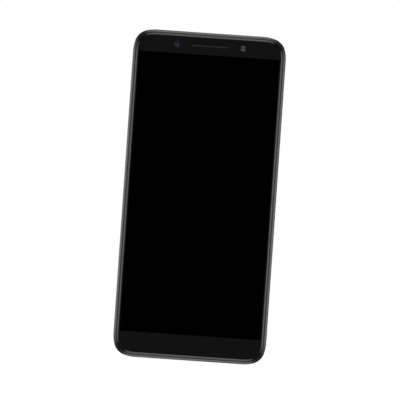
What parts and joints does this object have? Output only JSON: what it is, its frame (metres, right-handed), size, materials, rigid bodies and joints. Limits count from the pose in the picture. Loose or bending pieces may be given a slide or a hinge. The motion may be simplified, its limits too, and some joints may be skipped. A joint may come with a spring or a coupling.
{
  "type": "smartphone",
  "caption": "Upright touch phone with a rounded glass front, slim dark frame, curved rear cover, side keys, card tray, sockets and full inner build.",
  "frame": {"origin": "middle of the bottom edge: half the width, half the thickness, at the lowest point", "axes": "+Z along the phone towards the earpiece end, +X to the right as seen from the screen, +Y from the screen to the back"},
  "size_m": [0.0686, 0.0086, 0.147],
  "materials": {
    "cover_glass": "clear hard glass, polished, edge rounded",
    "display": "dark liquid-crystal glass, switched off",
    "backlight": "white light guide in a thin tray",
    "tape": "thin black adhesive foam",
    "frame": "moulded plastic with a fine dark grey metallic coat",
    "back_cover": "moulded plastic, satin dark grey metallic coat",
    "key": "moulded plastic in the frame's dark grey coat",
    "chassis": "pressed light alloy, blasted",
    "steel": "thin folded or drawn steel",
    "screw_steel": "blackened steel screws",
    "board": "glass-fibre circuit board with green lacquer",
    "chip": "black moulded chip package",
    "connector": "ivory plastic with gilt contacts",
    "flex": "amber flexible circuit film",
    "black_plastic": "black moulded plastic, fine grain",
    "rubber": "soft black foam rubber",
    "pad": "grey heat-conducting pad",
    "battery": "foil pouch under a dark wrap",
    "mesh": "fine woven dark steel mesh",
    "lens": "coated optical glass",
    "flash": "clear moulded lens over a yellow lamp",
    "ring_metal": "turned and anodised dark ring",
    "sensor_black": "glossy black touch sensor face",
    "coax": "black jacketed thin coaxial lead",
    "tray": "plastic card tray, head in the frame's dark grey coat",
    "card": "white card with gilt contact pads"
  },
  "bodies": {
    "phone": {"cover_glass": "cover_glass", "glass_tape": "tape", "touch_film": "display", "lcd_cell": "display", "display_driver": "chip", "backlight": "backlight", "display_flex": "flex", "frame": "frame", "mid_plate": "chassis", "rear_cover": "back_cover", "screws": "screw_steel", "main_board": "board", "headphone_jack": "black_plastic", "shield_front": "steel", "shield_back": "steel", "processor": "chip", "thermal_pad": "pad", "board_chips": "chip", "board_connectors": "connector", "board_cover": "black_plastic", "earpiece_mesh": "mesh", "earpiece_gasket": "rubber", "earpiece": "black_plastic", "front_camera": "black_plastic", "front_camera_lens": "lens", "proximity_sensor": "sensor_black", "camera_housing": "black_plastic", "camera_flex": "flex", "camera_ring": "ring_metal", "camera_window": "lens", "flash_led": "flash", "flash_lens": "flash", "fingerprint_sensor": "sensor_black", "fingerprint_ring": "ring_metal", "battery": "battery", "battery_tape": "tape", "battery_board": "board", "battery_lead": "flex", "sub_board": "board", "usb_port": "steel", "usb_tongue": "black_plastic", "speaker_box": "black_plastic", "speaker_mesh": "mesh", "microphones": "steel", "motor_case": "steel", "bottom_cover": "black_plastic", "main_flex": "flex", "coax_cable": "coax", "key_switches": "steel", "key_flex": "flex", "key_bracket": "steel", "sim_reader": "steel"},
    "power_key": {"power_key": "key"},
    "volume_key": {"volume_key": "key"},
    "card_tray": {"sim_tray": "tray", "sim_card": "card", "memory_card": "card"},
    "lens_barrel": {"camera_barrel": "black_plastic", "camera_lens": "lens"},
    "motor_weight": {"motor_rotor": "steel"}
  },
  "joints": [
    {"name": "power_press", "type": "slide", "parent": "phone", "child": "power_key", "axis": [-1, 0, 0], "range_m": [0, 0.00025], "stiffness_N_per_m": 4000},
    {"name": "volume_rock", "type": "hinge", "parent": "phone", "child": "volume_key", "pos_m": [0.03255, 0, 0.108], "axis": [0, 1, 0], "range_deg": [-1.5, 1.5], "stiffness_Nm_per_rad": 0.45},
    {"name": "tray_slide", "type": "slide", "parent": "phone", "child": "card_tray", "axis": [-1, 0, 0], "range_m": [0, 0.029]},
    {"name": "focus_slide", "type": "slide", "parent": "phone", "child": "lens_barrel", "axis": [0, 1, 0], "range_m": [0, 0.00025], "stiffness_N_per_m": 60},
    {"name": "motor_spin", "type": "hinge", "parent": "phone", "child": "motor_weight", "pos_m": [-0.022, 0.00015, 0.0125], "axis": [0, 1, 0], "continuous": true}
  ]
}
